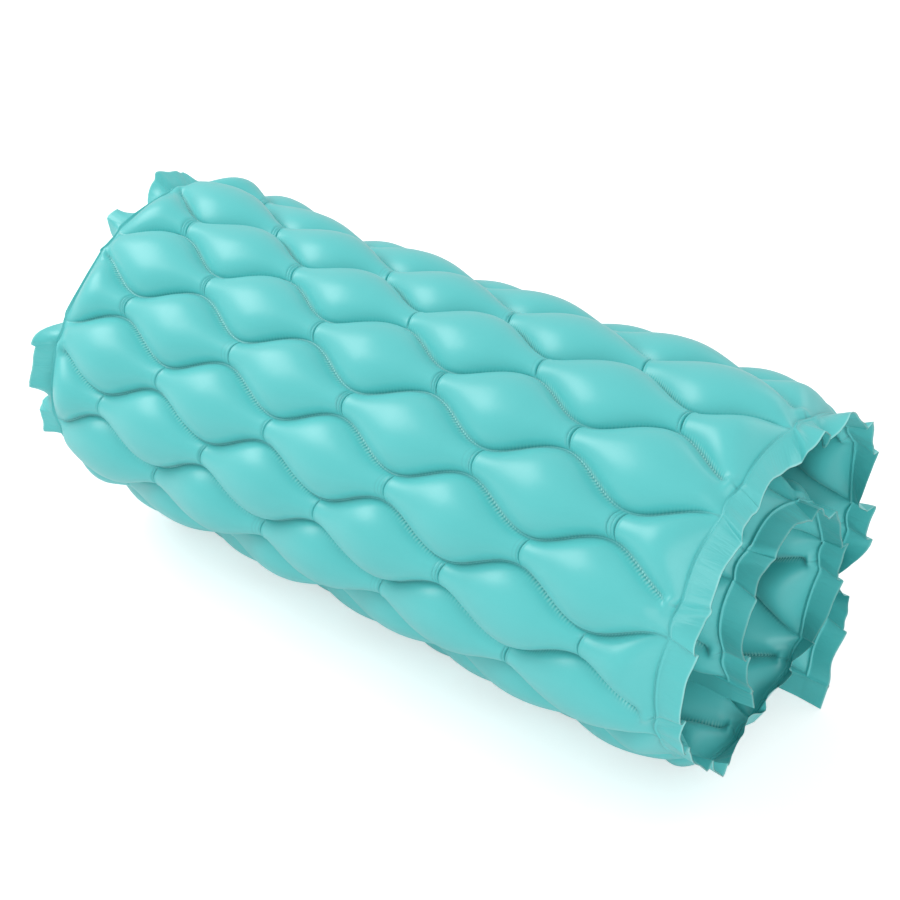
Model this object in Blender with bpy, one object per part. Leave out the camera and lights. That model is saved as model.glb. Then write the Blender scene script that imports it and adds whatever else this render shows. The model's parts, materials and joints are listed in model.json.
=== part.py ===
"""Inflated pool air mattress of wavy cross channels, rolled up and lying on its side, with its air valve."""

import math

import bmesh
import bpy
from mathutils import Matrix, Vector

# Channels: lengths in metres, x across the mattress, s along it from the outer free end
CHANNELS = 28
CHANNEL_WIDTH = 0.0548
WAVES = 5
WAVE_LENGTH = 0.160
WELD_SWING = 0.0170
BELLY = 0.0296
NECK = 0.0080
BELLY_REACH = 0.024
NECK_REACH = 0.0128
SHOULDER_RATIO = 0.5
WELD_GAP = 0.0003
WELD_POINTS = 6

# Hems, the flat welded border all round
FILM = 0.0008
SIDE_HEM = 0.028
OUTER_HEM = 0.0272
HEM_DRAW = 0.5
RUFFLE = 0.008
INNER_HEM = 0.028
HEM_RIPPLE = 0.002

# Section of the roll, from the free end inwards: runs in metres, turns in degrees
TAIL_HEADING = 70
BACK_RADIUS = 0.256
BACK_TURN = 20
WRAP_TURN = 180
FRONT_RADIUS = 0.112
FRONT_TURN = 43
FRONT_RUN = 0.084
HEEL_RADIUS = 0.052
FLOOR_RUN = 0.050
RISE_TURN = 78
RISE_GAP = 0.0228
INNER_RUN = 0.056
ARCH_TURN = 102
ARCH_GAP = 0.0073
CORE_RADIUS = 0.072
CORE_TURN = 105
LAST_RUN = 0.066
FLOOR_CUT = 0.0005
FLOOR_PIECE = 6
ROOT = 17

# Air valve, on the outer face of one belly: z runs out of the belly
VALVE_CHANNEL_INDEX = 2
VALVE_WAVE_INDEX = 1
VALVE_SIDES = 32
SEAT_GAP = 0.0003
FLANGE_RADIUS = 0.0160
FLANGE = 0.0012
STEM_RADIUS = 0.0060
STEM_BORE = 0.0040
STEM_OUT = 0.0125
STEM_TRAVEL = 0.0100
SLEEVE_WALL = 0.0020
SLEEVE = 0.0120
COLLAR = 0.0015
POCKET_SLACK = 0.0015
PLUG_CAP = 0.0018
PLUG_SHANK = 0.0035
PLUG_TAPER = 0.0008
STRAP_REACH = 0.0035
STRAP_WIDTH = 0.0050
STRAP = 0.0012
FLAP = 0.0006
FLAP_LAP = 0.0012

WIDTH = WAVES * WAVE_LENGTH
LENGTH = CHANNELS * CHANNEL_WIDTH
WIDEST = CHANNEL_WIDTH + 2 * WELD_SWING
NARROWEST = CHANNEL_WIDTH - 2 * WELD_SWING


def clear_scene():
    for obj in list(bpy.data.objects):
        bpy.data.objects.remove(obj, do_unlink=True)


# Section of the roll

def arc_rise(before, after):
    """Height that an arc of radius 1 gains while its heading turns, in degrees."""
    return math.cos(math.radians(before)) - math.cos(math.radians(after))


def section_pieces():
    """Each piece as (length, turn). The free end's run and the outer wrap's radius follow from two needs:
    the pieces have the mattress's length, and the free end's hem just reaches the surface below."""
    back_heading = TAIL_HEADING + BACK_TURN
    front_heading = back_heading + WRAP_TURN
    heel_heading = front_heading + FRONT_TURN
    heel_turn = 360 - heel_heading
    rise_less = 2 * BELLY + RISE_GAP
    arch_less = 2 * BELLY + ARCH_GAP
    wrap_share = math.radians(WRAP_TURN + RISE_TURN + ARCH_TURN)
    length_left = (LENGTH - BACK_RADIUS * math.radians(BACK_TURN) - FRONT_RADIUS * math.radians(FRONT_TURN)
                   - FRONT_RUN - HEEL_RADIUS * math.radians(heel_turn) - FLOOR_RUN - INNER_RUN
                   - CORE_RADIUS * math.radians(CORE_TURN) - LAST_RUN
                   + rise_less * math.radians(RISE_TURN) + arch_less * math.radians(ARCH_TURN))
    tail_rise = math.sin(math.radians(TAIL_HEADING))
    wrap_rise = arc_rise(back_heading, front_heading)
    front_rise = FRONT_RUN * math.sin(math.radians(heel_heading))
    ends = [(BACK_RADIUS, TAIL_HEADING, back_heading), (FRONT_RADIUS, front_heading, heel_heading),
            (HEEL_RADIUS, heel_heading, 360)]
    rise_left = (BELLY - FLOOR_CUT - OUTER_HEM * tail_rise - front_rise
                 - sum(radius * arc_rise(before, after) for radius, before, after in ends))
    wrap_radius = (rise_left - tail_rise * length_left) / (wrap_rise - tail_rise * wrap_share)
    tail_run = length_left - wrap_share * wrap_radius
    bends = [
        (BACK_RADIUS, BACK_TURN),
        (wrap_radius, WRAP_TURN),
        (FRONT_RADIUS, FRONT_TURN),
        (HEEL_RADIUS, heel_turn),
        (wrap_radius - rise_less, RISE_TURN),
        (wrap_radius - arch_less, ARCH_TURN),
        (CORE_RADIUS, CORE_TURN),
    ]
    back, wrap, front, heel, rise, arch, core = [(r * math.radians(t), math.radians(t)) for r, t in bends]
    outer = [(tail_run, 0), back, wrap, front, (FRONT_RUN, 0), heel, (FLOOR_RUN, 0)]
    return outer + [rise, (INNER_RUN, 0), arch, core, (LAST_RUN, 0)]


def walk(point, heading, length, turn, part):
    """Point and heading after a part of a run or an arc that turns left."""
    if turn == 0:
        return point + part * Vector((math.cos(heading), math.sin(heading))), heading
    radius = length / turn
    after = heading + part / radius
    side = Vector((math.sin(after) - math.sin(heading), math.cos(heading) - math.cos(after)))
    return point + radius * side, after


def lay_section():
    """The pieces with their start, set down so that the floor run's bellies reach a little below z = 0."""
    point, heading, start, laid = Vector((0, 0)), math.radians(TAIL_HEADING), 0, []
    for length, turn in section_pieces():
        laid.append([start, length, turn, point, heading])
        point, heading = walk(point, heading, length, turn, length)
        start += length
    floor_point = laid[FLOOR_PIECE][3]
    drop = Vector((0, BELLY - FLOOR_CUT - floor_point.y))
    for piece in laid:
        piece[3] = piece[3] + drop
    return laid


PIECES = lay_section()


def centreline(s):
    """Point and heading of the middle surface at a length from the free end, straight on past both ends."""
    start, length, turn, point, heading = next((p for p in reversed(PIECES) if p[0] <= s), PIECES[0])
    return walk(point, heading, length, turn, s - start)


def on_roll(x, s, inward):
    """World point of the mattress: x across it, s along it, and a height towards the inside of the roll."""
    point, heading = centreline(s)
    y = point.x - inward * math.sin(heading)
    z = point.y + inward * math.cos(heading)
    return Vector((x - WIDTH / 2, y, max(z, 0)))


# Channels

def weld_at(weld, x):
    """Length along the mattress at which a weld crosses x: neighbours swing against each other."""
    if weld in (0, CHANNELS):
        return weld * CHANNEL_WIDTH
    inside = min(max(x, 0), WIDTH)
    draw = 1 if inside == x else HEM_DRAW
    return weld * CHANNEL_WIDTH - (-1) ** weld * draw * WELD_SWING * math.cos(math.tau * inside / WAVE_LENGTH)


def half_height(channel, x):
    """Half thickness of the inflated channel, which grows with the distance between its welds."""
    width = weld_at(channel + 1, x) - weld_at(channel, x)
    return NECK + (BELLY - NECK) * (width - NARROWEST) / (WIDEST - NARROWEST)


def crown_stations(channel):
    """Places across the channel as (x, half thickness): two on each belly, two on each neck and the hems."""
    flat = FILM / 2
    stations = [(-SIDE_HEM, flat), (0, flat)]
    for half in range(2 * WAVES + 1):
        middle = half * WAVE_LENGTH / 2
        reach = BELLY_REACH if half % 2 == channel % 2 else NECK_REACH
        height = half_height(channel, middle)
        stations += [(x, height) for x in (middle - reach, middle + reach) if 0 < x < WIDTH]
    return stations + [(WIDTH, flat), (WIDTH + SIDE_HEM, flat)]


def weld_stations(weld):
    """Places across the mattress where a weld has a point, fewer on the two straight ones."""
    per_wave = 2 if weld in (0, CHANNELS) else WELD_POINTS
    count = WAVES * per_wave
    return [-SIDE_HEM] + [WIDTH * k / count for k in range(count + 1)] + [WIDTH + SIDE_HEM]


def weld_line(bm, channel, side):
    """Edge of a channel along the weld before it (side -1) or after it (side 1), half a gap short of it."""
    weld = channel + (side + 1) // 2
    line = []
    for x in weld_stations(weld):
        s = weld_at(weld, x) - side * WELD_GAP / 2
        line.append((x, bm.verts.new(on_roll(x, s, 0))))
    return line


def shoulder_line(bm, channel, side, skin):
    """Line of the crown's edge on one skin (1 inner, -1 outer), between the middle and one weld."""
    line = []
    for x, height in crown_stations(channel):
        low, high = weld_at(channel, x), weld_at(channel + 1, x)
        s = (low + high) / 2 + side * SHOULDER_RATIO * (high - low) / 2
        ruffle = 0 if 0 <= x <= WIDTH else RUFFLE
        line.append((x, bm.verts.new(on_roll(x, s, skin * height - ruffle))))
    return line


def zip_lines(bm, first, second):
    """Triangles between two lines of points that run the same way."""
    i = j = 0
    while i < len(first) - 1 or j < len(second) - 1:
        next_i = first[i + 1][0] if i < len(first) - 1 else math.inf
        next_j = second[j + 1][0] if j < len(second) - 1 else math.inf
        if next_i <= next_j:
            bm.faces.new((first[i][1], first[i + 1][1], second[j][1]))
            i += 1
        else:
            bm.faces.new((first[i][1], second[j + 1][1], second[j][1]))
            j += 1


def channel_mesh(channel):
    """One inflated channel with its stretch of both side hems, sharp along its two welds."""
    bm = bmesh.new()
    before = weld_line(bm, channel, -1)
    after = weld_line(bm, channel, 1)
    inner = [shoulder_line(bm, channel, side, 1) for side in (-1, 1)]
    outer = [shoulder_line(bm, channel, side, -1) for side in (-1, 1)]
    for low, high in (inner, outer):
        zip_lines(bm, before, low)
        zip_lines(bm, low, high)
        zip_lines(bm, high, after)
    for end in (0, -1):
        ring = [before, inner[0], inner[1], after, outer[1], outer[0]]
        bm.faces.new([line[end][1] for line in ring])
    return bm


# Hems at the two ends

def outer_hem_mesh():
    """Flat hem below the free end's weld, down to the surface that the roll lies on, with a slight ripple."""
    bm = bmesh.new()
    start, heading = centreline(0)
    down = Vector((0, -math.cos(heading), -math.sin(heading)))
    rings = []
    for x in weld_stations(0):
        ripple = HEM_RIPPLE * math.cos(math.tau * x / WAVE_LENGTH)
        top = [on_roll(x, -WELD_GAP, skin * FILM / 2) for skin in (1, -1)]
        edge = []
        for skin in (1, -1):
            point = on_roll(x, 0, skin * FILM / 2 + ripple)
            edge.append(point + down * (point.z / -down.z))
        rings.append([bm.verts.new(p) for p in (top[0], top[1], edge[1], edge[0])])
    bridge_rings(bm, rings)
    return bm


def inner_hem_mesh():
    """Flat hem past the last weld, at the inside of the roll."""
    bm = bmesh.new()
    rings = []
    for x in (-SIDE_HEM, WIDTH + SIDE_HEM):
        near, far = LENGTH + WELD_GAP, LENGTH + INNER_HEM
        corners = [(near, 1), (near, -1), (far, -1), (far, 1)]
        rings.append([bm.verts.new(on_roll(x, s, skin * FILM / 2)) for s, skin in corners])
    bridge_rings(bm, rings)
    return bm


def bridge_rings(bm, rings):
    """Faces along rings of four points, two on each wall, which split both walls alike, and end faces."""
    for one, two in zip(rings, rings[1:]):
        for k, after in ((0, 1), (1, 2), (0, 3), (3, 2)):
            bm.faces.new((one[k], one[after], two[after]))
            bm.faces.new((one[k], two[after], two[k]))
    bm.faces.new(rings[0])
    bm.faces.new(rings[-1])


# Air valve

def turned(profile, sides=VALVE_SIDES):
    """Solid turned about z from a closed profile of (radius, z), with a point where the radius is 0."""
    bm = bmesh.new()
    rings = []
    for radius, z in profile:
        if radius == 0:
            rings.append([bm.verts.new((0, 0, z))])
            continue
        angles = [math.tau * k / sides for k in range(sides)]
        rings.append([bm.verts.new((radius * math.cos(a), radius * math.sin(a), z)) for a in angles])
    closed = profile[0][0] > 0
    pairs = list(zip(rings, rings[1:])) + ([(rings[-1], rings[0])] if closed else [])
    for one, two in pairs:
        for k in range(sides):
            after = (k + 1) % sides
            corners = [one[k % len(one)], one[after % len(one)], two[after % len(two)], two[k % len(two)]]
            bm.faces.new(list(dict.fromkeys(corners)))
    return bm


def add_box(bm, low, high):
    """Box between two corners, added to a mesh as a body of its own."""
    low, high = Vector(low), Vector(high)
    pose = Matrix.Translation((low + high) / 2) @ Matrix.Diagonal((*(high - low), 1))
    bmesh.ops.create_cube(bm, size=1, matrix=pose)


FLANGE_TOP = SEAT_GAP + FLANGE
STEM_TOP = FLANGE_TOP + STEM_OUT
SLEEVE_BORE = STEM_RADIUS + SEAT_GAP
SLEEVE_RADIUS = SLEEVE_BORE + SLEEVE_WALL
STEM_FOOT = -SLEEVE - SEAT_GAP - COLLAR
FLAP_RADIUS = STEM_BORE + FLAP_LAP
STRAP_HINGE = STEM_RADIUS + STRAP_REACH
POCKET_RADIUS = SLEEVE_RADIUS + POCKET_SLACK
POCKET_DEPTH = -STEM_FOOT + STEM_TRAVEL + 2 * FLAP_RADIUS + POCKET_SLACK


def valve_pose():
    """Frame on the crown of the valve's belly: z out of the belly, y along the mattress."""
    low, high = [(VALVE_CHANNEL_INDEX + 0.5) * CHANNEL_WIDTH + side * crown_half_width() for side in (-1, 1)]
    x = VALVE_WAVE_INDEX * WAVE_LENGTH
    height = half_height(VALVE_CHANNEL_INDEX, x)
    one, two = on_roll(x, low, -height), on_roll(x, high, -height)
    along = (two - one).normalized()
    across = Vector((-1, 0, 0))
    turn = Matrix((across, along, across.cross(along))).transposed()
    return Matrix.Translation((one + two) / 2) @ turn.to_4x4()


def crown_half_width():
    """Half width of the valve belly's crown, where the two points across it stand."""
    x = VALVE_WAVE_INDEX * WAVE_LENGTH + BELLY_REACH
    return SHOULDER_RATIO * (weld_at(VALVE_CHANNEL_INDEX + 1, x) - weld_at(VALVE_CHANNEL_INDEX, x)) / 2


def valve_base_mesh():
    """Disc welded to the film, with the sleeve that guides the stem."""
    return turned([
        (SLEEVE_BORE, FLANGE_TOP),
        (SLEEVE_BORE, -SLEEVE),
        (SLEEVE_RADIUS, -SLEEVE),
        (SLEEVE_RADIUS, SEAT_GAP),
        (FLANGE_RADIUS, SEAT_GAP),
        (FLANGE_RADIUS, FLANGE_TOP - FLANGE / 2),
        (FLANGE_RADIUS - FLANGE / 2, FLANGE_TOP),
    ])


def valve_stem_mesh():
    """Tube with a collar that stops it in the sleeve, drawn with its top at STEM_TOP."""
    return turned([
        (STEM_BORE, STEM_TOP),
        (STEM_BORE, STEM_FOOT),
        (SLEEVE_RADIUS, STEM_FOOT),
        (SLEEVE_RADIUS, STEM_FOOT + COLLAR),
        (STEM_RADIUS, STEM_FOOT + COLLAR),
        (STEM_RADIUS, STEM_TOP),
    ])


def strap_lug():
    """Ledge at the stem's rim that carries the plug's strap."""
    bm = bmesh.new()
    add_box(bm, (-STRAP_WIDTH / 2, (STEM_BORE + STEM_RADIUS) / 2, STEM_TOP - STRAP),
            (STRAP_WIDTH / 2, STRAP_HINGE, STEM_TOP))
    return bm


def valve_plug_mesh():
    """Cap on the rim with a tapered shank in the bore."""
    seat = STEM_TOP + SEAT_GAP
    shank = STEM_BORE - SEAT_GAP
    cap = STEM_RADIUS + SEAT_GAP
    return turned([
        (0, seat + PLUG_CAP),
        (cap - PLUG_CAP / 2, seat + PLUG_CAP),
        (cap, seat + PLUG_CAP / 2),
        (cap, seat),
        (shank, seat),
        (shank - PLUG_TAPER, seat - PLUG_SHANK),
        (0, seat - PLUG_SHANK),
    ])


def plug_strap():
    """Strap from the cap to its fold above the stem's ledge."""
    bm = bmesh.new()
    seat = STEM_TOP + SEAT_GAP
    add_box(bm, (-STRAP_WIDTH / 2, STEM_RADIUS / 2, seat), (STRAP_WIDTH / 2, STRAP_HINGE, seat + STRAP))
    return bm


def valve_flap_mesh():
    """Thin disc that air pressure holds against the foot of the stem."""
    top = STEM_FOOT - SEAT_GAP
    return turned([(0, top), (FLAP_RADIUS, top), (FLAP_RADIUS, top - FLAP), (0, top - FLAP)])


# Materials

def make_material(name, colour, roughness, transmission):
    material = bpy.data.materials.new(name)
    material.use_nodes = True
    shader = material.node_tree.nodes["Principled BSDF"]
    shader.inputs["Base Color"].default_value = (*colour, 1)
    shader.inputs["Roughness"].default_value = roughness
    shader.inputs["Metallic"].default_value = 0
    shader.inputs["Transmission Weight"].default_value = transmission
    return material


def film_material(name):
    """Soft turquoise vinyl film with a satin surface."""
    return make_material(f"{name}_film", (0.112, 0.640, 0.610), 0.36, 0)


def vinyl_material(name):
    """Moulded milky clear vinyl of the valve."""
    return make_material(f"{name}_vinyl", (0.70, 0.86, 0.85), 0.25, 0.3)


# Objects

def place(name, bm, pose, material, parent=None):
    """Object of a mesh that is given in the pose's own frame, carried by its parent."""
    bmesh.ops.recalc_face_normals(bm, faces=bm.faces)
    mesh = bpy.data.meshes.new(name)
    bm.to_mesh(mesh)
    bm.free()
    mesh.shade_smooth()
    mesh.set_sharp_from_angle(angle=math.radians(50))
    obj = bpy.data.objects.new(name, mesh)
    if material:
        mesh.materials.append(material)
    bpy.context.collection.objects.link(obj)
    obj.parent = parent
    bpy.context.view_layer.update()
    obj.matrix_world = pose
    bpy.context.view_layer.update()
    return obj


def place_at(name, bm, origin, material, parent=None):
    """Object of a mesh that is given in world coordinates, with its origin moved to a point."""
    bmesh.ops.translate(bm, verts=bm.verts, vec=-origin)
    return place(name, bm, Matrix.Translation(origin), material, parent)


def hide_tool(obj):
    obj.hide_render = True
    obj.display_type = "WIRE"


def use_boolean(obj, tool, operation):
    """Add or cut a helper shape that rides on its object."""
    hide_tool(tool)
    boolean = obj.modifiers.new(operation.title(), "BOOLEAN")
    boolean.operation = operation
    boolean.solver = "EXACT"
    boolean.object = tool


def channel_name(channel):
    return f"channel_{channel + 1:02d}"


def add_channel(channel, hinge, parent):
    """A channel whose origin is on the middle of the weld line that it hinges on."""
    origin = on_roll(WIDTH / 2, hinge * CHANNEL_WIDTH, 0)
    name = channel_name(channel)
    return place_at(name, channel_mesh(channel), origin, film_material(name), parent)


def add_channels():
    """The channel on the floor first, then outwards and inwards from it, each carried by the one before."""
    channels = {ROOT: add_channel(ROOT, ROOT + 0.5, None)}
    for channel in range(ROOT - 1, -1, -1):
        channels[channel] = add_channel(channel, channel + 1, channels[channel + 1])
    for channel in range(ROOT + 1, CHANNELS):
        channels[channel] = add_channel(channel, channel, channels[channel - 1])
    return channels


def add_end_hems(channels):
    hems = [
        ("end_hem_outer", outer_hem_mesh(), 0, channels[0]),
        ("end_hem_inner", inner_hem_mesh(), CHANNELS, channels[CHANNELS - 1]),
    ]
    for name, bm, weld, parent in hems:
        place_at(name, bm, on_roll(WIDTH / 2, weld * CHANNEL_WIDTH, 0), film_material(name), parent)


def add_valve(channel):
    """Base, stem, plug and flap, in a pocket of their channel."""
    pose = valve_pose()
    pocket = turned([
        (0, POCKET_SLACK),
        (POCKET_RADIUS, POCKET_SLACK),
        (POCKET_RADIUS, -POCKET_DEPTH),
        (0, -POCKET_DEPTH),
    ])
    use_boolean(channel, place("pocket_cutter", pocket, pose, None, channel), "DIFFERENCE")
    place("valve_base", valve_base_mesh(), pose, vinyl_material("valve_base"), channel)
    stem = place("valve_stem", valve_stem_mesh(), pose, vinyl_material("valve_stem"), channel)
    use_boolean(stem, place("lug_shape", strap_lug(), pose, None, stem), "UNION")
    add_plug(pose, stem)
    add_flap(pose, stem)


def add_plug(pose, stem):
    """Plug with its origin on the fold of its strap."""
    fold = Vector((0, STRAP_HINGE, STEM_TOP + SEAT_GAP / 2))
    hinge = pose @ Matrix.Translation(fold)
    plug_bm, strap_bm = valve_plug_mesh(), plug_strap()
    for bm in (plug_bm, strap_bm):
        bmesh.ops.translate(bm, verts=bm.verts, vec=-fold)
    plug = place("valve_plug", plug_bm, hinge, vinyl_material("valve_plug"), stem)
    use_boolean(plug, place("strap_shape", strap_bm, hinge, None, plug), "UNION")


def add_flap(pose, stem):
    """Flap with its origin on the edge that it swings on."""
    edge = Vector((0, FLAP_RADIUS, STEM_FOOT - SEAT_GAP - FLAP / 2))
    bm = valve_flap_mesh()
    bmesh.ops.translate(bm, verts=bm.verts, vec=-edge)
    place("valve_flap", bm, pose @ Matrix.Translation(edge), vinyl_material("valve_flap"), stem)


def centre_footprint(root):
    """Move the whole model so that the middle of its box stands over the origin."""
    shown = [obj for obj in bpy.data.objects if not obj.hide_render]
    across = [(obj.matrix_world @ v.co).y for obj in shown for v in obj.data.vertices]
    root.location.y -= (min(across) + max(across)) / 2
    bpy.context.view_layer.update()


def main():
    clear_scene()
    channels = add_channels()
    add_end_hems(channels)
    add_valve(channels[VALVE_CHANNEL_INDEX])
    centre_footprint(channels[ROOT])


main()
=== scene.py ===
"""Looks of the rolled pool air mattress: welded film with ruffled hems, valve, floor and light."""

import json
import math

import bpy
import numpy as np
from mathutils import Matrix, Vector


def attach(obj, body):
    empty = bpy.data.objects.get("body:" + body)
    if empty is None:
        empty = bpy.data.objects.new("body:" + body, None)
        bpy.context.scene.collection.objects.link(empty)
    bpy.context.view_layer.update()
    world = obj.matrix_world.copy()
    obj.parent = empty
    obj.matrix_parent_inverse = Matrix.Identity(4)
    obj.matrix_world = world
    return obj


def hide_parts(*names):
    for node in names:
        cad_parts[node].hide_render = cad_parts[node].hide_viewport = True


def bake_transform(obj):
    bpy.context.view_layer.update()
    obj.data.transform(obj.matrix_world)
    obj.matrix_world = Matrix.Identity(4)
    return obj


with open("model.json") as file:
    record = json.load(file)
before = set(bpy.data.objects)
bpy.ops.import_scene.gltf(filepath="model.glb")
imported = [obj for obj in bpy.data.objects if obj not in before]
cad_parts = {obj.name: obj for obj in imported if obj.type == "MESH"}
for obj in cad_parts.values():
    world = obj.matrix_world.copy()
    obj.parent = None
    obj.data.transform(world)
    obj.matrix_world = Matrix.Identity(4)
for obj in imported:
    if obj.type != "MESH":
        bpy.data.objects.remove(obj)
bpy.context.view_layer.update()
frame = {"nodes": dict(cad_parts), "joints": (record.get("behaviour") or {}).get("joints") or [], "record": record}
rng = np.random.default_rng(28)

# Welds and channels, in metres: x across the mattress, s along it from the outer free end
CHANNELS = 28
CHANNEL_WIDTH = 0.0548
WAVES = 5
WAVE_LENGTH = 0.160
BELLY = 0.0296
FILM = 0.0008
SIDE_HEM = 0.028
OUTER_HEM = 0.0272
INNER_HEM = 0.028
WIDTH = WAVES * WAVE_LENGTH
LENGTH = CHANNELS * CHANNEL_WIDTH

# Section of the roll, from the free end's run inwards: radii and runs in metres, turns in degrees
TAIL_HEADING = 70
WRAP_RADIUS = 0.17277024
RISE_RADIUS = WRAP_RADIUS - 2 * BELLY - 0.0228
ARCH_RADIUS = WRAP_RADIUS - 2 * BELLY - 0.0073
AFTER_TAIL = [
    ("arc", 0.256, 20),
    ("arc", WRAP_RADIUS, 180),
    ("arc", 0.112, 43),
    ("run", 0.084),
    ("arc", 0.052, 47),
    ("run", 0.050),
    ("arc", RISE_RADIUS, 78),
    ("run", 0.056),
    ("arc", ARCH_RADIUS, 102),
    ("arc", 0.072, 105),
    ("run", 0.066),
]
FLOOR_PIECE = 6
FLOOR_CUT = 0.0005
FLOOR_HINGE = "weld_17_bend"
FLOOR_WELD = 17

# Fineness of the film's grid
ROWS_PER_CHANNEL = 20
NECK_STEP = 0.0006
NECK_COLUMNS = 14
PLAIN_START = 0.0104
PLAIN_COLUMNS = 20
EDGE_COLUMNS = [0, 0.0003, 0.0008, 0.0015]
HEM_COLUMNS = [0.25, 0.36, 0.48, 0.6, 0.72, 0.84, 0.93, 1.0]
RIDGE_COLUMNS = [-2.2, -1.3, -0.7, 0, 0.7, 1.3, 2.2]
VALVE_ROWS = 31
VALVE_ROWS_REACH = 0.36
HEM_STEPS = [0.04, 0.08, 0.12, 0.18, 0.3, 0.45, 0.6, 0.8, 1.0]

# Pillows between the welds: half thicknesses, and the powers that shape them
FILM_SWING = 0.0136
WIDEST = CHANNEL_WIDTH + 2 * FILM_SWING
NARROWEST = CHANNEL_WIDTH - 2 * FILM_SWING
FILM_BELLY = 0.0246
FILM_NECK = 0.0085
INNER_FULLER = 1.2
FULLNESS = 0.62
CROWN = 2.2
SHOULDER = 0.76
BELLY_SCATTER = 0.04
BELLY_ROUNDING = 0.048
NECK_ROUNDING = 0.024
EDGE_TAPER = 0.85
SEAM = 0.0009

# Air passages round the ends of the welds
PASSAGE = 0.007
PASSAGE_REACH = 0.013
PASSAGE_OPEN = 0.006
PASSAGE_SCATTER = 0.002
PASSAGE_FADE = 0.010

# Folds across the necks, puckers along the welds, and the shade painted as dark lines into the folds and the weld
# grooves
CREASE_DEPTH = 0.0030
CREASE_WIDTH = 0.0009
CREASE_BOW = 0.0034
CREASE_MOST = 3
CREASE_STARTS = (-0.001, 0.003)
CREASE_GAPS = (-0.0042, -0.0030)
CREASE_FIRST = (0.8, 1.1)
CREASE_NEXT = (0.35, 0.6)
CREASE_BOWS = (0.6, 1.1)
CREASE_LIP = 0.25
LIP_PLACE = 2.2
LIP_WIDTH = 1.6
# Strength of the shade painted into the neck creases
CREASE_SHADE = 0.8
CREASE_FADE = (0.01, 0.03)
PUCKER_PLACE = 0.0004
PUCKER_REACH = 0.0015
PUCKER_LEVEL = 0.04
PUCKER_RISING = 0.96
PUCKER_FALLING = 0.16
# Width of the shade painted beside each closed weld
GROOVE_SHADE_WIDTH = 0.0005

# Edge weld beside the side hems, as a ridge on both skins, and the hems' shingles and ruffles
EDGE_WELD = 0.0020
EDGE_WELD_PLACE = 0.0032
EDGE_WELD_WIDTH = 0.0009
EDGE_DRAW = 0.0040
EDGE_DRAW_REACH = 0.04
EDGE_STEP = 0.0016
STEP = 0.0062
STEP_BACK = 0.92
RUFFLE = 0.0032
RUFFLE_SPREAD = 0.6
SMALL_RUFFLE = 0.4
FOLD_SIZES = (0.5, 1.25)
RUFFLE_LEAN = 0.0030
LEAN_PHASE = 0.7
HEM_TAPER = 0.9
FAR_RUFFLING = 0.6
NEAR_RUFFLING = 0.85

# Shares of the hem's width over which its wrinkles start and its cut edge turns pale
HEM_START = (0.02, 0.25)
CUT_EDGE = (0.93, 1.0)

# End hems: the weld's ridge, the distance from a weld that their UV map holds,
# and the ripples as (height, length of a wave, phase)
END_WELD_PLACE = 0.0022
END_WELD_WIDTH = 0.0012
OFF_WELDS = 0.02
END_RIPPLES = [(0.0018, 0.171, 0.3), (0.0009, 0.063, 0)]

# Lie of the film's middle surface: outwards all round, and the free end's lean at the near side
FILM_OUTWARD = 0.0032
TAIL_LEAN = 0.014
TAIL_REACH = 0.35
TAIL_DRAW = 0.36
TAIL_FADE = (0.16, 0.30)
END_FADE = 0.03

# Slow waves of the middle surface: (height, length across, phase across, length along, phase along)
WAVERING = [(0.0010, 0.31, 0.2, 0.23, 0.4), (0.0007, 0.13, 0.7, 0.171, 0)]
WAVERING_FADE = 0.04

# Places where the film swells or sinks: (side, reach across, s, length along, height outwards)
SWELLS = [
    ("far", 0.16, 0.375, 0.12, 0.015),
    ("far", 0.50, 0.780, 0.10, 0.012),
    ("far", 0.14, 0.670, 0.07, 0.007),
    ("near", 0.50, 0.370, 0.15, 0.011),
    ("near", 0.22, 0.985, 0.07, -0.015),
    ("near", 0.16, 0.200, 0.07, -0.006),
    ("near", 0.35, 0.850, 0.06, -0.006),
]

# Lean of the side hems into the roll past a fold line beside the edge weld, as (s in metres, degrees)
HEM_FOLD = 0.005
FAR_LEAN = [
    (0.0, 0), (0.10, 0), (0.18, 65), (0.365, 66), (0.378, 20), (0.392, -34), (0.43, -38), (0.452, 60),
    (0.468, 62), (0.480, 4), (0.497, 0), (0.508, 62), (0.536, 62), (0.548, 45), (0.562, 62), (0.59, 65),
    (0.625, 40), (0.645, -50), (0.69, -52), (0.708, 40), (0.722, -20), (0.745, -24), (0.758, 55),
    (0.83, 60), (0.92, 30),
]
NEAR_LEAN = [
    (0.0, 10), (0.08, 10), (0.11, 55), (0.128, 68), (0.142, 40), (0.156, 0), (0.20, 0), (0.225, 45),
    (0.24, 36), (0.262, 24), (0.285, -2), (0.31, -12), (0.345, -20), (0.365, -25), (0.378, 10),
    (0.388, 58), (0.398, 5), (0.412, 0), (0.425, 40), (0.44, 66), (0.50, 62), (0.54, 45), (0.62, 40),
    (0.66, 12), (0.80, 0), (0.86, 0), (0.90, 40), (0.93, 68), (1.06, 66), (1.12, 5), (1.54, 0),
]

# Valve: the film's seat and pocket, around the valve's axis
VALVE_CHANNEL = 2
FLANGE = 0.0013
POCKET_RADIUS = 0.0125
POCKET_DEPTH = 0.040
SEAT_GAP = 0.0003
SEAT_SINK = 0.0002
SEAT_FLAT = 0.0185
SEAT_BLEND = 0.030
SEAT_REACH = 0.02

# Colours of the film: deep and light clouds, painted shade in the crevices, painted highlights on stitches and cut
# edges
DEEP = (0.100, 0.600, 0.600, 1)
LIGHT = (0.122, 0.655, 0.655, 1)
SHADE_COLOUR = (0.030, 0.240, 0.250, 1)
HIGHLIGHT_COLOUR = (0.42, 0.88, 0.85, 1)
CREVICE_SHADE = 0.35
EDGE_SHINE = 0.8

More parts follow.
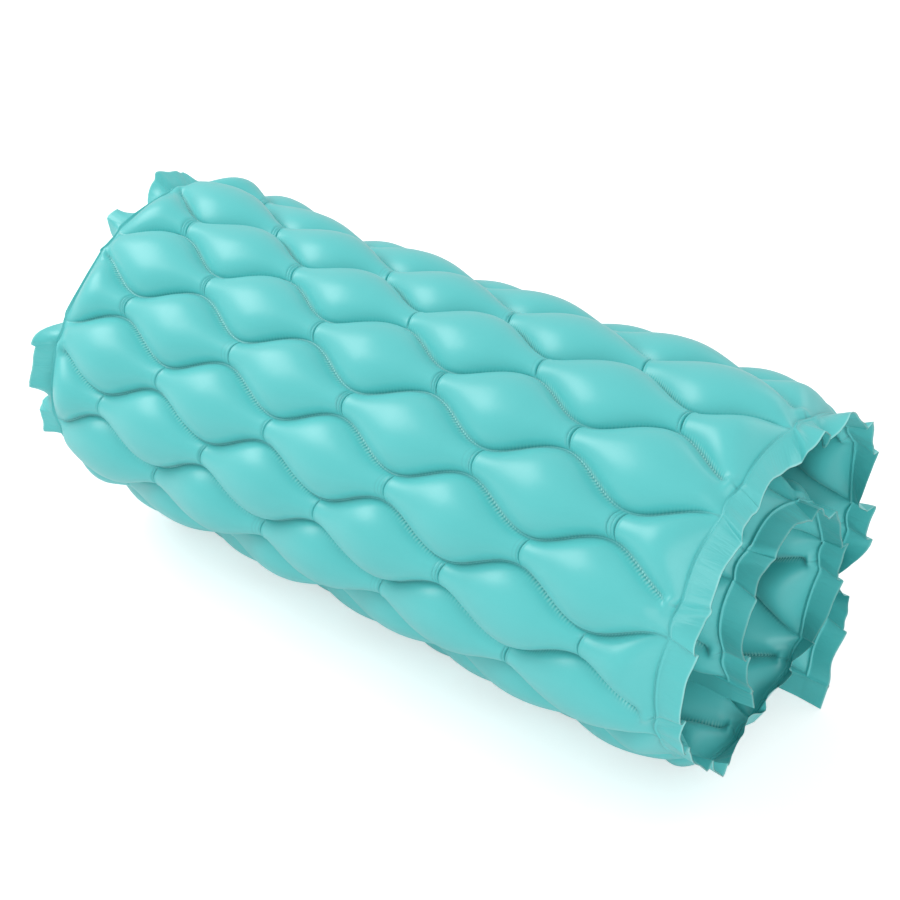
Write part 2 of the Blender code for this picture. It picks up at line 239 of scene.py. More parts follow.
# Valve: colour, roughness and transmission of each moulded piece
VALVE_LOOKS = {
    "valve_base": ((0.72, 0.87, 0.86), 0.26, 0.35),
    "valve_stem": ((0.74, 0.88, 0.87), 0.24, 0.40),
    "valve_plug": ((0.76, 0.89, 0.88), 0.22, 0.40),
    "valve_flap": ((0.78, 0.88, 0.87), 0.30, 0.30),
}

# Floor, and the lamps as (name, place, target, sizes, power)
FLOOR_REACH = 6.0
FLOOR_DROP = 0.0003
FLOOR_GLOW = 0.50
LAMPS = [
    ("key_light", (-2.0, -0.9, 2.1), (0, 0, 0.18), (2.2, 1.5), 40),
    ("fill_light", (2.1, -1.2, 0.9), (0.3, 0, 0.18), (1.8, 1.4), 14),
    ("back_light", (0.8, 2.2, 1.8), (0, 0, 0.18), (1.8, 1.2), 8),
]

# Camera, fitted to the photograph's crossings of welds and outlines
CAMERA_AZIMUTH = 40.06
CAMERA_ELEVATION = 32.28
CAMERA_DISTANCE = 2.152
CAMERA_TARGET = (-0.2345, 0.2983, -0.0522)
CAMERA_LENS = 64.0
SENSOR = 36.0


# Middle surface of the roll

def piece_length(kind, size, turn=0):
    """Length of a straight run or of an arc."""
    return size * math.radians(turn) if kind == "arc" else size


def lay_section():
    """Each piece's start, length, turn, first point and heading. The tail's run takes what is left."""
    start, y, z, heading = 0.0, 0.0, 0.0, math.radians(TAIL_HEADING)
    tail = LENGTH - sum(piece_length(*piece) for piece in AFTER_TAIL)
    rows = []
    for kind, size, *turn in [("run", tail)] + AFTER_TAIL:
        turned = math.radians(turn[0]) if kind == "arc" else 0.0
        length = piece_length(kind, size, *turn)
        rows.append((start, length, turned, y, z, heading))
        after = heading + turned
        if kind == "arc":
            y += size * (math.sin(after) - math.sin(heading))
            z += size * (math.cos(heading) - math.cos(after))
        else:
            y += size * math.cos(heading)
            z += size * math.sin(heading)
        start, heading = start + length, after
    table = np.array(rows)
    table[:, 4] += BELLY - FLOOR_CUT - table[FLOOR_PIECE, 4]
    return table


PIECES = lay_section()


def centreline(s):
    """y, z and heading of the middle surface at each s, straight on past both ends."""
    s = np.asarray(s, float)
    piece = PIECES[np.clip(np.searchsorted(PIECES[:, 0], s, side="right") - 1, 0, len(PIECES) - 1)]
    start, length, turn, y, z, heading = np.moveaxis(piece, -1, 0)
    along = s - start
    after = heading + turn / length * along
    straight = turn == 0
    radius = length / np.where(straight, 1, turn)
    dy = np.where(straight, along * np.cos(heading), radius * (np.sin(after) - np.sin(heading)))
    dz = np.where(straight, along * np.sin(heading), radius * (np.cos(heading) - np.cos(after)))
    return y + dy, z + dz, after


def floor_shift():
    """Move along y that puts the section where the frame has it, read off the floor channel's hinge."""
    hinge = next(j for j in frame["joints"] if j["name"] == FLOOR_HINGE)
    return hinge["pos_m"][1] - float(centreline(FLOOR_WELD * CHANNEL_WIDTH)[0])


SHIFT = floor_shift()


def on_roll(x, s, inward):
    """World points of the mattress, none of them below the floor."""
    y, z, heading = centreline(s)
    height = np.maximum(z + inward * np.cos(heading), 0)
    return np.stack(np.broadcast_arrays(x - WIDTH / 2, y + SHIFT - inward * np.sin(heading), height), -1)


# Grid of the film: one row per place along the mattress, one column per place across it

ON_WELD = -2.0


def smooth(value, low, high):
    """0 below low, 1 above high and a smooth step between them."""
    t = np.clip((value - low) / (high - low), 0, 1)
    return t * t * (3 - 2 * t)


def bump(value, width):
    """1 at 0, and close to 0 past twice the width."""
    return np.exp(-((value / width) ** 2))


def column_places():
    """x of each column: close together at the necks, wider between them, and fine towards both edges."""
    half = WAVE_LENGTH / 2
    neck = np.arange(-NECK_COLUMNS, NECK_COLUMNS + 1) * NECK_STEP
    between = np.linspace(PLAIN_START, half - PLAIN_START, PLAIN_COLUMNS)
    places = [k * half + neck for k in range(2 * WAVES + 1)]
    places += [k * half + between for k in range(2 * WAVES)]
    edge = np.array(EDGE_COLUMNS)
    inside = np.concatenate(places + [edge, WIDTH - edge])
    inside = inside[(inside >= 0) & (inside <= WIDTH)]
    ridge = EDGE_WELD_PLACE + EDGE_WELD_WIDTH * np.array(RIDGE_COLUMNS)
    hem = np.concatenate([ridge, SIDE_HEM * np.array(HEM_COLUMNS)])
    return np.unique(np.round(np.concatenate([-hem, inside, WIDTH + hem]), 6))


def row_places():
    """Rows as (channel, u): u goes from -1 to 1 between the seams, and ON_WELD marks the weld before."""
    even = np.sin(np.linspace(-1, 1, ROWS_PER_CHANNEL + 1) * math.pi / 2)
    rows = []
    for channel in range(CHANNELS):
        places = even
        if channel == VALVE_CHANNEL:
            fine = np.linspace(-VALVE_ROWS_REACH, VALVE_ROWS_REACH, VALVE_ROWS)
            places = np.unique(np.round(np.concatenate([even, fine]), 4))
        rows += [(channel, ON_WELD)] + [(channel, u) for u in places]
    return rows + [(CHANNELS, ON_WELD)]


X = column_places()
ROWS = row_places()
ROW_CHANNEL = np.array([channel for channel, _ in ROWS])
ROW_MARK = np.array([u for _, u in ROWS])
ROW_U = np.maximum(ROW_MARK, -1)
INSIDE = np.clip(X, 0, WIDTH)
HEM_PLACE = np.abs(X - INSIDE) / SIDE_HEM
FROM_EDGE = np.minimum(INSIDE, WIDTH - INSIDE)


def weld_lines():
    """s of each weld at each column. The end welds are straight, and waves ease off in the side hems."""
    wave = FILM_SWING * np.cos(math.tau * INSIDE / WAVE_LENGTH) * (1 - 0.5 * HEM_PLACE)
    lines = [k * CHANNEL_WIDTH - (-1) ** k * wave for k in range(CHANNELS + 1)]
    lines[0] = np.zeros_like(X)
    lines[-1] = np.full_like(X, LENGTH)
    return np.array(lines)


WELDS = weld_lines()


def edge_rounding(reach):
    """Share of the full thickness at each column, which tapers to 0 at the edge welds."""
    return np.sin(np.clip(FROM_EDGE / reach, 0, 1) ** EDGE_TAPER * math.pi / 2)


def weld_passages():
    """Half height of the air passage round the end of each weld that stops short of one edge weld."""
    heights = np.zeros((CHANNELS + 1, len(X)))
    for weld in range(1, CHANNELS):
        from_edge = INSIDE if weld % 2 == 0 else WIDTH - INSIDE
        reach = PASSAGE_OPEN + rng.uniform(-PASSAGE_SCATTER, PASSAGE_SCATTER)
        heights[weld] = PASSAGE * (1 - smooth(from_edge, reach, reach + PASSAGE_REACH))
    return heights * edge_rounding(PASSAGE)


def belly_scatter(channel):
    """Slight differences in fullness from one belly of a channel to the next."""
    places = np.arange(-1, 2 * WAVES + 3) * WAVE_LENGTH / 2
    return 1 + np.interp(INSIDE, places, rng.uniform(-BELLY_SCATTER, BELLY_SCATTER / 2, len(places)))


def pillow_height(rise, u):
    """Height over a channel at a place u from -1 to 1: nearly flat on top and steep beside the welds."""
    return rise * np.maximum(1 - np.abs(u) ** CROWN, 0) ** SHOULDER


def neck_creases(channel, u):
    """Lift of the sharp folds across each neck of one skin, bowed like a bracket, and the share of painted shade
    in each fold.
    """
    lift, shade_share = np.zeros((2, len(u), len(X)))
    first = 1 if channel % 2 == 0 else 0
    for half in range(first, 2 * WAVES + 1, 2):
        neck = half * WAVE_LENGTH / 2
        if not 0 < neck < WIDTH:
            continue
        count = rng.integers(1, CREASE_MOST + 1)
        places = rng.uniform(*CREASE_STARTS) + np.arange(count) * rng.uniform(*CREASE_GAPS)
        depths = CREASE_DEPTH * rng.uniform(*CREASE_NEXT, count)
        depths[0] = CREASE_DEPTH * rng.uniform(*CREASE_FIRST)
        bow = CREASE_BOW * rng.uniform(*CREASE_BOWS)
        for place, depth in zip(places, depths):
            away = X[None] - neck - place - bow * u[:, None] ** 2
            lip = CREASE_LIP * bump(away - LIP_PLACE * CREASE_WIDTH, LIP_WIDTH * CREASE_WIDTH)
            fade = 1 - u[:, None] ** 10
            lift += depth * (lip - bump(away, CREASE_WIDTH)) * fade
            shade_share += depth / CREASE_DEPTH * bump(away, 0.8 * CREASE_WIDTH) * fade
    return lift, shade_share


def pucker_pulls():
    """How strongly the film puckers along each weld: most where s rises along the weld with x."""
    slopes = np.gradient(WELDS, X, axis=1) / (math.tau * FILM_SWING / WAVE_LENGTH)
    rising = PUCKER_RISING * np.clip(slopes, 0, 1) ** 1.5
    falling = PUCKER_FALLING * np.clip(-slopes, 0, 1) ** 2
    return PUCKER_LEVEL + rising + falling


def hem_folds():
    """Height, lean and draw of each side hem at each row. Each channel's stretch lies over the next like
    a shingle: it starts set back towards the inside at one weld and ends standing out at the next."""
    phase = (1 + ROW_U) / 2
    back = smooth(phase, STEP_BACK, 1.0)
    shingle = np.where(ROW_MARK == ON_WELD, -0.5, (phase - 0.5) * (1 - back) - 0.5 * back)
    folds = []
    for share in (FAR_RUFFLING, NEAR_RUFFLING):
        size = share * rng.uniform(*FOLD_SIZES, CHANNELS + 1)[ROW_CHANNEL]
        turn = rng.uniform(0, math.tau, CHANNELS + 1)[ROW_CHANNEL]
        step = size * shingle
        height = STEP * 2 * step
        height -= share * RUFFLE * RUFFLE_SPREAD * (1 + np.sin(turn)) * np.sin(math.tau * phase)
        height -= SMALL_RUFFLE * RUFFLE * np.sin(2 * math.tau * phase + turn) * np.sin(math.pi * phase)
        lean = np.cos(math.tau * phase + LEAN_PHASE) * size
        draw = EDGE_STEP * 2 * step - share * EDGE_DRAW * np.sin(math.pi * phase)
        folds.append((height, lean, draw))
    return folds


def tail_lean(s):
    """How far the free end leans into the roll at the near side."""
    return TAIL_LEAN * smooth(INSIDE, WIDTH - TAIL_REACH, WIDTH) * (1 - smooth(s, *TAIL_FADE))


def middle_offset(s, ends):
    """Height of the film's middle surface over the section, towards the inside of the roll."""
    wavering = np.zeros_like(s)
    for height, across, turn_across, along, turn_along in WAVERING:
        ripples = np.sin(math.tau * (INSIDE / across + turn_across))
        wavering += height * ripples * np.sin(math.tau * (s / along + turn_along))
    offset = wavering * smooth(FROM_EDGE, 0, WAVERING_FADE) - FILM_OUTWARD * ends
    for side, reach, place, length, height in SWELLS:
        from_side = INSIDE if side == "far" else WIDTH - INSIDE
        offset -= height * (1 - smooth(from_side, 0, reach)) * bump(s - place, length)
    return offset


def fold_side_hems(x, s, offset, ends):
    """Draw the edges in, lean the side hems and lay them in folds, by changing the three arrays."""
    beyond = np.maximum(HEM_PLACE * SIDE_HEM - HEM_FOLD, 0)
    sides = ((X < WIDTH / 2, -1, FAR_LEAN), (X > WIDTH / 2, 1, NEAR_LEAN))
    for (height, lean, draw), (on_side, outwards, table) in zip(hem_folds(), sides):
        grow = HEM_PLACE ** HEM_TAPER * on_side * ends
        angle = np.radians(np.interp(s, *zip(*table)))
        pulled = (1 - smooth(FROM_EDGE, 0, EDGE_DRAW_REACH)) * on_side * ends
        x += outwards * (draw[:, None] * pulled - beyond * (1 - np.cos(angle)) * on_side * ends)
        offset += beyond * np.sin(angle) * on_side * ends - height[:, None] * grow
        s += RUFFLE_LEAN * lean[:, None] * grow


def film_grid():
    """Places and heights of both skins over the grid, and the painted values that the material reads."""
    shape = (len(ROWS), len(X))
    s, inner, outer = np.zeros(shape), np.full(shape, FILM / 2), np.full(shape, FILM / 2)
    pucker, weld_gap, groove_shade = np.zeros((3, *shape))
    passages = weld_passages()
    shut = (1 - passages / PASSAGE) * (HEM_PLACE == 0)
    pulls = pucker_pulls()
    creased = (HEM_PLACE == 0) * smooth(FROM_EDGE, *CREASE_FADE)
    on_welds = np.flatnonzero(ROW_MARK == ON_WELD)
    s[on_welds] = WELDS
    # Painted shade on the closed welds, where the grooves between the pillows are shaded
    groove_shade[on_welds] = shut
    pucker[on_welds] = pulls * shut
    for skin in (inner, outer):
        skin[on_welds] += passages
    for channel in range(CHANNELS):
        rows = np.flatnonzero((ROW_CHANNEL == channel) & (ROW_MARK != ON_WELD))
        u = ROW_U[rows]
        low, high = WELDS[channel] + SEAM, WELDS[channel + 1] - SEAM
        width = high - low
        s[rows] = (low + high) / 2 + u[:, None] * width / 2
        share = np.clip((width + 2 * SEAM - NARROWEST) / (WIDEST - NARROWEST), 0, 1)
        rise = (FILM_NECK + (FILM_BELLY - FILM_NECK) * share ** FULLNESS) * belly_scatter(channel)
        rounding = NECK_ROUNDING if channel % 2 else BELLY_ROUNDING
        arc = pillow_height(rise, u[:, None]) * edge_rounding(rounding)
        from_low, from_high = (1 + u[:, None]) * width / 2, (1 - u[:, None]) * width / 2
        passage = passages[channel] * bump(from_low + SEAM, PASSAGE_FADE)
        passage = passage + passages[channel + 1] * bump(from_high + SEAM, PASSAGE_FADE)
        height = np.sqrt(arc ** 2 + passage ** 2)
        gap = np.minimum(from_low, from_high)
        for skin, fuller in ((inner, INNER_FULLER), (outer, 1.0)):
            lift, shade_share = neck_creases(channel, u)
            skin[rows] += np.maximum(height * fuller + lift * creased, 0)
            # Painted shade in the neck creases, as dark lines
            groove_shade[rows] = np.maximum(groove_shade[rows], CREASE_SHADE * shade_share * creased)
        closed = np.minimum(shut[channel], shut[channel + 1])
        pull = np.where(u[:, None] < 0, pulls[channel], pulls[channel + 1])
        weld_gap[rows] = gap
        pucker[rows] = bump(gap - PUCKER_PLACE, PUCKER_REACH) * pull * closed
        # Painted shade in the narrow groove beside each closed weld
        groove_shade[rows] = np.maximum(groove_shade[rows], bump(gap, GROOVE_SHADE_WIDTH) * closed)
    ridge = EDGE_WELD * bump(HEM_PLACE * SIDE_HEM - EDGE_WELD_PLACE, EDGE_WELD_WIDTH) * (HEM_PLACE > 0)
    ends = np.minimum(smooth(s, 0, END_FADE), smooth(LENGTH - s, 0, END_FADE))
    lean_in = tail_lean(s)
    offset = middle_offset(s, ends) + lean_in
    x = np.broadcast_to(X, shape).copy()
    fold_side_hems(x, s, offset, ends)
    return {
        "x": x, "s": s - TAIL_DRAW * lean_in, "inner": offset + inner + ridge,
        "outer": offset - outer - ridge, "pucker": pucker, "gap": weld_gap, "groove_shade": groove_shade,
    }


def end_hem_rows(rows, weld, width, sign):
    """Rows of a flat end hem past its weld, with the same keys as the film's grid."""
    reach = sign * width * np.array(rows)
    s = weld + reach[:, None] + 0 * X
    ripple = sum(height * np.sin(math.tau * (X / wave + turn)) for height, wave, turn in END_RIPPLES)
    ridge = EDGE_WELD * bump(np.abs(reach) - END_WELD_PLACE, END_WELD_WIDTH)[:, None]
    lean_in = tail_lean(s)
    middle = ripple * (np.abs(reach) / width)[:, None] + lean_in
    plain = np.zeros_like(s)
    return {
        "x": plain + X, "s": s - TAIL_DRAW * lean_in, "inner": middle + FILM / 2 + ridge,
        "outer": middle - FILM / 2 - ridge, "pucker": plain, "gap": plain + OFF_WELDS, "groove_shade": plain,
    }


def whole_grid():
    """The film's grid with both end hems added, and the points of both skins."""
    before = end_hem_rows(HEM_STEPS[::-1], 0, OUTER_HEM, -1)
    between = film_grid()
    after = end_hem_rows(HEM_STEPS, LENGTH, INNER_HEM, 1)
    grid = {key: np.vstack([before[key], between[key], after[key]]) for key in between}
    skins = np.stack([on_roll(grid["x"], grid["s"], grid[side]) for side in ("inner", "outer")])
    return grid, skins


PLACES, GRID = whole_grid()
FIRST_ROW = len(HEM_STEPS)


def seat_the_valve():
    """Flatten the outer skin under the valve's flange and sink it into a pocket round the sleeve."""
    seat = frame["nodes"]["valve_base"]
    corners = np.array([seat.matrix_world @ v.co for v in seat.data.vertices])
    joint = next(j for j in frame["joints"] if j["name"] == "stem_push")
    out = -np.array(joint["axis"])
    out /= np.linalg.norm(out)
    heights = corners @ out
    flange = corners[heights > heights.max() - FLANGE]
    centre = (flange.min(0) + flange.max(0)) / 2
    level = (flange @ out).min() - SEAT_GAP
    skin = GRID[1]
    along = skin @ out
    radius = np.linalg.norm(skin - centre - (skin - centre) @ out[:, None] * out, axis=-1)
    near = (radius < SEAT_BLEND) & (along > level - SEAT_REACH)
    weight = 1 - smooth(radius, SEAT_FLAT, SEAT_BLEND)
    target = np.where(radius < POCKET_RADIUS, level - POCKET_DEPTH, level - SEAT_SINK)
    move = (target - along) * weight * near
    skin += move[..., None] * out


seat_the_valve()


def grid_normals():
    """Outward unit normals of both skins, from the differences along rows and columns."""
    normals = []
    for skin, sign in zip(GRID, (1, -1)):
        down = np.gradient(skin, axis=0)
        across = np.gradient(skin, axis=1)
        normal = sign * np.cross(across, down)
        size = np.linalg.norm(normal, axis=-1, keepdims=True)
        normals.append(normal / np.maximum(size, 1e-12))
    return np.stack(normals)


NORMALS = grid_normals()


# Pieces of the film

def film_piece(name, first, last, material):
    """Closed body of the grid's rows first to last."""
    rows = slice(first, last + 1)
    count, columns = last - first + 1, len(X)
    points = GRID[:, rows].reshape(-1, 3)
    normals = NORMALS[:, rows].reshape(-1, 3)
    index = np.arange(2 * count * columns).reshape(2, count, columns)

    def quads(a, b, c, d):
        return np.stack([a, b, c, d], -1).reshape(-1, 4)

    inner, outer = index
    faces = np.vstack([
        quads(inner[:-1, :-1], inner[:-1, 1:], inner[1:, 1:], inner[1:, :-1]),
        quads(outer[:-1, :-1], outer[1:, :-1], outer[1:, 1:], outer[:-1, 1:]),
        quads(inner[0, :-1], outer[0, :-1], outer[0, 1:], inner[0, 1:]),
        quads(inner[-1, :-1], inner[-1, 1:], outer[-1, 1:], outer[-1, :-1]),
        quads(inner[:-1, 0], inner[1:, 0], outer[1:, 0], outer[:-1, 0]),
        quads(inner[:-1, -1], outer[:-1, -1], outer[1:, -1], inner[1:, -1]),
    ])
    mesh = bpy.data.meshes.new(name)
    mesh.from_pydata(points.tolist(), [], faces.tolist())
    mesh.shade_smooth()
    uv = mesh.uv_layers.new(name="UVMap")
    flat = mesh.uv_layers.new(name="flat_film")
    corner = np.empty(len(mesh.loops), dtype=np.int32)
    mesh.loops.foreach_get("vertex_index", corner)
    across = np.broadcast_to(X, (2, count, columns)).ravel()
    gap = np.broadcast_to(PLACES["gap"][rows], (2, count, columns)).ravel()
    uv.data.foreach_set("uv", np.stack([across, gap], -1)[corner].ravel().astype(np.float32))
    along = np.broadcast_to(PLACES["s"][rows], (2, count, columns)).ravel()
    flat.data.foreach_set("uv", np.stack([across, along], -1)[corner].ravel().astype(np.float32))
    # Painted values for the material: pucker and cut_edge also carry painted highlights, the crevice mask carries
    # painted shade
    painted = {
        "pucker": PLACES["pucker"][rows],
        "groove_shade": PLACES["groove_shade"][rows],
        "cut_edge": smooth(HEM_PLACE, *CUT_EDGE),
        "hem": smooth(HEM_PLACE, *HEM_START),
    }
    for label, values in painted.items():
        attribute = mesh.attributes.new(label, "FLOAT", "POINT")
        both = np.broadcast_to(values, (2, count, columns)).ravel()
        attribute.data.foreach_set("value", both.astype(np.float32))
    mesh.normals_split_custom_set_from_vertices(normals.tolist())
    mesh.materials.append(material)
    obj = bpy.data.objects.new(name, mesh)
    bpy.context.collection.objects.link(obj)
    return obj


def row_of(channel, u):
    """Row of the grid at a place u of a channel, or at the weld before it (ON_WELD)."""
    match = np.flatnonzero((ROW_CHANNEL == channel) & (np.abs(ROW_MARK - u) < 1e-6))
    return FIRST_ROW + int(match[0])


def body_of_channel():
    """The body that holds each channel's node."""
    bodies = frame["record"]["behaviour"]["bodies"]
    names = [f"channel_{channel + 1:02d}" for channel in range(CHANNELS)]
    return [next(body for body, nodes in bodies.items() if name in nodes) for name in names]


def build_film(material):
    """Pieces attached to the bodies of their channels, and one piece across each weld that hinges, left without a
    body.
    """
    bodies = body_of_channel()
    hinges = [w for w in range(1, CHANNELS) if bodies[w - 1] != bodies[w]]
    spans, start = [], 0
    for weld in hinges:
        before, after = row_of(weld - 1, 0), row_of(weld, 0)
        if before > start:
            spans.append((start, before, None, weld - 1))
        spans.append((before, after, weld, None))
        start = after
    spans.append((start, GRID.shape[1] - 1, None, CHANNELS - 1))
    pieces = []
    for number, (first, last, weld, channel) in enumerate(spans, 1):
        piece = film_piece(f"film_{number:02d}", first, last, material)
        if weld is None:
            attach(piece, bodies[channel])
        else:
            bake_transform(piece)
        pieces.append((piece, first, last))
    return pieces


def replace_solids(pieces):
    """Hide the solids of each CAD channel and of both end hems, whose places the film's pieces take."""
    for channel in range(CHANNELS):
        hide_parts(f"channel_{channel + 1:02d}")
    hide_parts("end_hem_outer")
    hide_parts("end_hem_inner")


# Materials

def new_material(name):
    material = bpy.data.materials.new(name)
    material.use_nodes = True
    nodes = material.node_tree.nodes
    return material, nodes, material.node_tree.links, nodes["Principled BSDF"]


def add_node(nodes, kind, **settings):
    node = nodes.new(kind)
    for key, value in settings.items():
        setattr(node, key, value)
    return node


def math_node(nodes, links, operation, first, second):
    node = add_node(nodes, "ShaderNodeMath", operation=operation)
    for socket, value in zip(node.inputs, (first, second)):
        if isinstance(value, (int, float)):
            socket.default_value = value
        else:
            links.new(value, socket)
    return node.outputs[0]


def noise(nodes, links, vector, scale, detail):
    """Factor of a noise texture that is read at a vector."""
    texture = add_node(nodes, "ShaderNodeTexNoise")
    texture.inputs["Scale"].default_value = scale
    texture.inputs["Detail"].default_value = detail
    links.new(vector, texture.inputs["Vector"])
    return texture.outputs["Fac"]


def mix_colours(nodes, links, factor, first, second):
    """Mix of two colours, either of which may come from another node."""
    mix = add_node(nodes, "ShaderNodeMix", data_type="RGBA")
    for socket, colour in ((mix.inputs["A"], first), (mix.inputs["B"], second)):
        if isinstance(colour, tuple):
            socket.default_value = colour
        else:
            links.new(colour, socket)
    links.new(factor, mix.inputs["Factor"])
    return mix.outputs["Result"]


def stretch_range(nodes, links, value, low, high):
    """A value from 0 to 1 spread from low to high."""
    spread = add_node(nodes, "ShaderNodeMapRange")
    spread.inputs["To Min"].default_value = low
    spread.inputs["To Max"].default_value = high
    links.new(value, spread.inputs["Value"])
    return spread.outputs["Result"]


def relief(nodes, links, height, strength, distance, normal=None):
    """Bump of a height, on top of a normal where one is given."""
    raised = add_node(nodes, "ShaderNodeBump")
    raised.inputs["Strength"].default_value = strength
    raised.inputs["Distance"].default_value = distance
    links.new(height, raised.inputs["Height"])
    if normal:
        links.new(normal, raised.inputs["Normal"])
    return raised.outputs["Normal"]


def painted_value(nodes, name):
    """Value that was painted on the film's points under a name."""
    return add_node(nodes, "ShaderNodeAttribute", attribute_name=name).outputs["Fac"]


def hem_streaks(nodes, links):
    """Short streaks across the flat hems, nothing elsewhere."""
    flat = add_node(nodes, "ShaderNodeUVMap", uv_map="flat_film")
    stretch = add_node(nodes, "ShaderNodeMapping")
    stretch.inputs["Scale"].default_value = (22, 150, 1)
    links.new(flat.outputs["UV"], stretch.inputs["Vector"])
    streaks = add_node(nodes, "ShaderNodeTexNoise")
    streaks.inputs["Scale"].default_value = 1
    streaks.inputs["Detail"].default_value = 3
    streaks.inputs["Distortion"].default_value = 0.8
    links.new(stretch.outputs["Vector"], streaks.inputs["Vector"])
    return math_node(nodes, links, "MULTIPLY", streaks.outputs["Fac"], painted_value(nodes, "hem"))


def pucker_stitches(nodes, links):
    """Short puckers side by side along the welds, like stitches, where the film is painted for them."""
    uv = add_node(nodes, "ShaderNodeUVMap", uv_map="UVMap")
    settings = {"wave_type": "BANDS", "bands_direction": "X", "wave_profile": "SIN"}
    waves = add_node(nodes, "ShaderNodeTexWave", **settings)
    waves.inputs["Scale"].default_value = 105
    waves.inputs["Distortion"].default_value = 2.5
    waves.inputs["Detail"].default_value = 1
    waves.inputs["Detail Scale"].default_value = 1.5
    links.new(uv.outputs["UV"], waves.inputs["Vector"])
    return math_node(nodes, links, "MULTIPLY", waves.outputs["Fac"], painted_value(nodes, "pucker"))


def film_colour(nodes, links, place, stitches):
    """Faint clouds of tone, with painted shade in the crevices and painted highlights on the stitches and the cut
    edges.
    """
    clouds = mix_colours(nodes, links, noise(nodes, links, place, scale=14, detail=3), DEEP, LIGHT)
    # Painted shade: the crevice mask mixes the tone towards a dark teal in the weld grooves and creases
    painted_shade = math_node(nodes, links, "MULTIPLY", painted_value(nodes, "groove_shade"), CREVICE_SHADE)
    shaded = mix_colours(nodes, links, painted_shade, clouds, SHADE_COLOUR)
    # Painted highlights: the stitches and the cut edges are mixed towards a pale colour, standing in for the light
    # they catch
    edges = math_node(nodes, links, "MULTIPLY", painted_value(nodes, "cut_edge"), EDGE_SHINE)
    shine = math_node(nodes, links, "MAXIMUM", stitches, edges)
    return mix_colours(nodes, links, shine, shaded, HIGHLIGHT_COLOUR)


def film_material():
    """Satin turquoise vinyl with fine grain, slack film, stitches along the welds and wrinkled hems."""
    material, nodes, links, shader = new_material("turquoise_film")
    place = add_node(nodes, "ShaderNodeTexCoord").outputs["Object"]
    # The stitches give both a bump and a painted highlight
    stitches = pucker_stitches(nodes, links)
    satin = noise(nodes, links, place, scale=60, detail=4)
    grain = noise(nodes, links, place, scale=900, detail=2)
    links.new(film_colour(nodes, links, place, stitches), shader.inputs["Base Color"])
    links.new(stretch_range(nodes, links, satin, low=0.32, high=0.41), shader.inputs["Roughness"])
    shader.inputs["Specular IOR Level"].default_value = 0.62
    shader.inputs["Sheen Weight"].default_value = 0.14
    shader.inputs["Sheen Roughness"].default_value = 0.5
    normal = relief(nodes, links, grain, strength=0.05, distance=0.0004)
    normal = relief(nodes, links, satin, strength=0.16, distance=0.0012, normal=normal)
    normal = relief(nodes, links, stitches, strength=0.5, distance=0.0006, normal=normal)
    streaks = hem_streaks(nodes, links)
    normal = relief(nodes, links, streaks, strength=0.4, distance=0.0022, normal=normal)
    links.new(normal, shader.inputs["Normal"])
    return material


def valve_material(name, colour, roughness, transmission):
    """Milky moulded vinyl with slightly uneven gloss."""
    material, nodes, links, shader = new_material(name)
    place = add_node(nodes, "ShaderNodeTexCoord").outputs["Object"]
    cloud = noise(nodes, links, place, scale=180, detail=3)
    gloss = stretch_range(nodes, links, cloud, roughness - 0.05, roughness + 0.07)
    darker = (*[0.94 * part for part in colour], 1)
    links.new(gloss, shader.inputs["Roughness"])
    links.new(mix_colours(nodes, links, cloud, darker, (*colour, 1)), shader.inputs["Base Color"])
    shader.inputs["Transmission Weight"].default_value = transmission
    shader.inputs["IOR"].default_value = 1.5
    normal = relief(nodes, links, cloud, strength=0.06, distance=0.0003)
    links.new(normal, shader.inputs["Normal"])
    return material


def dress_valve():
    """The valve's nodes keep their solids and take the moulded vinyl."""
    for name, look in VALVE_LOOKS.items():
        material = valve_material(f"{name}_vinyl", *look)
        for place in frame["nodes"][name].material_slots:
            place.material = material


# Floor, light and camera

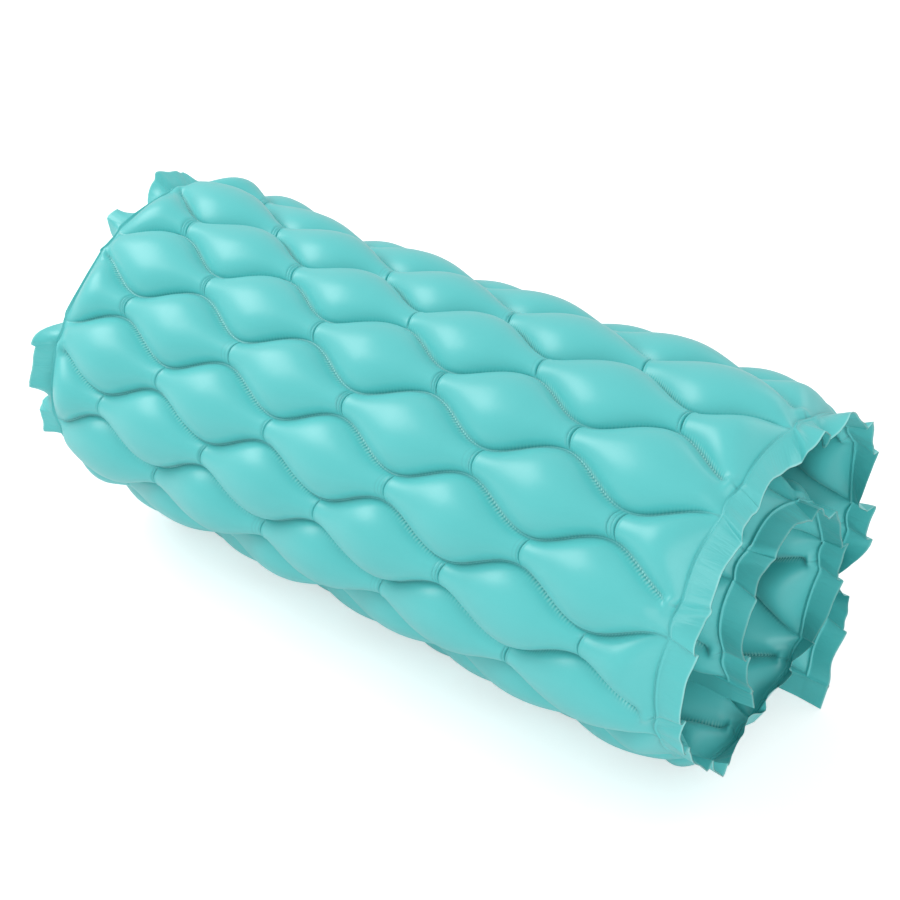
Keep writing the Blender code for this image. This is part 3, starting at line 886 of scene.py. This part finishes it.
def add_floor():
    """Pale floor that the camera sees as white, apart from the roll's shadow."""
    mesh = bpy.data.meshes.new("floor")
    corners = [(FLOOR_REACH * x, FLOOR_REACH * y, 0) for x, y in ((-1, -1), (1, -1), (1, 1), (-1, 1))]
    mesh.from_pydata(corners, [], [(0, 1, 2, 3)])
    floor = bpy.data.objects.new("floor", mesh)
    bpy.context.collection.objects.link(floor)
    floor.location.z = -FLOOR_DROP
    material, nodes, links, shader = new_material("pale_floor")
    shader.inputs["Base Color"].default_value = (0.86, 0.86, 0.86, 1)
    shader.inputs["Roughness"].default_value = 0.7
    glow = add_node(nodes, "ShaderNodeEmission")
    glow.inputs["Color"].default_value = (1, 1, 1, 1)
    glow.inputs["Strength"].default_value = FLOOR_GLOW
    path = add_node(nodes, "ShaderNodeLightPath")
    both = add_node(nodes, "ShaderNodeAddShader")
    mix = add_node(nodes, "ShaderNodeMixShader")
    links.new(shader.outputs["BSDF"], both.inputs[0])
    links.new(glow.outputs["Emission"], both.inputs[1])
    links.new(path.outputs["Is Camera Ray"], mix.inputs["Fac"])
    links.new(shader.outputs["BSDF"], mix.inputs[1])
    links.new(both.outputs["Shader"], mix.inputs[2])
    links.new(mix.outputs["Shader"], nodes["Material Output"].inputs["Surface"])
    mesh.materials.append(material)


def add_world():
    """Soft grey-white light all round, seen as white by the camera and through the valve."""
    world = bpy.data.worlds.new("studio")
    bpy.context.scene.world = world
    world.use_nodes = True
    nodes, links = world.node_tree.nodes, world.node_tree.links
    background = nodes["Background"]
    background.inputs["Color"].default_value = (1, 1, 1, 1)
    path = add_node(nodes, "ShaderNodeLightPath").outputs
    seen = math_node(nodes, links, "MAXIMUM", path["Is Camera Ray"], path["Is Transmission Ray"])
    links.new(stretch_range(nodes, links, seen, low=0.62, high=1.0), background.inputs["Strength"])


def add_lamp(name, place, target, sizes, power):
    lamp = bpy.data.lights.new(name, "AREA")
    lamp.shape = "RECTANGLE"
    lamp.size, lamp.size_y = sizes
    lamp.energy = power
    obj = bpy.data.objects.new(name, lamp)
    obj.location = place
    obj.rotation_euler = (Vector(target) - Vector(place)).to_track_quat("-Z", "Y").to_euler()
    bpy.context.collection.objects.link(obj)


def add_camera():
    """Camera of the photograph."""
    turn, tilt = math.radians(CAMERA_AZIMUTH), math.radians(CAMERA_ELEVATION)
    level = Vector((-math.sin(turn), math.cos(turn), 0))
    forward = level * math.cos(tilt) + Vector((0, 0, -math.sin(tilt)))
    camera = bpy.data.cameras.new("camera")
    camera.sensor_width = SENSOR
    camera.lens = CAMERA_LENS
    camera.clip_start = 0.01
    obj = bpy.data.objects.new("camera", camera)
    obj.location = Vector(CAMERA_TARGET) - forward * CAMERA_DISTANCE
    obj.rotation_euler = forward.to_track_quat("-Z", "Y").to_euler()
    bpy.context.collection.objects.link(obj)
    bpy.context.scene.camera = obj


replace_solids(build_film(film_material()))
dress_valve()
add_floor()
add_world()
for lamp_settings in LAMPS:
    add_lamp(*lamp_settings)
add_camera()
bpy.context.scene.view_settings.view_transform = "Standard"
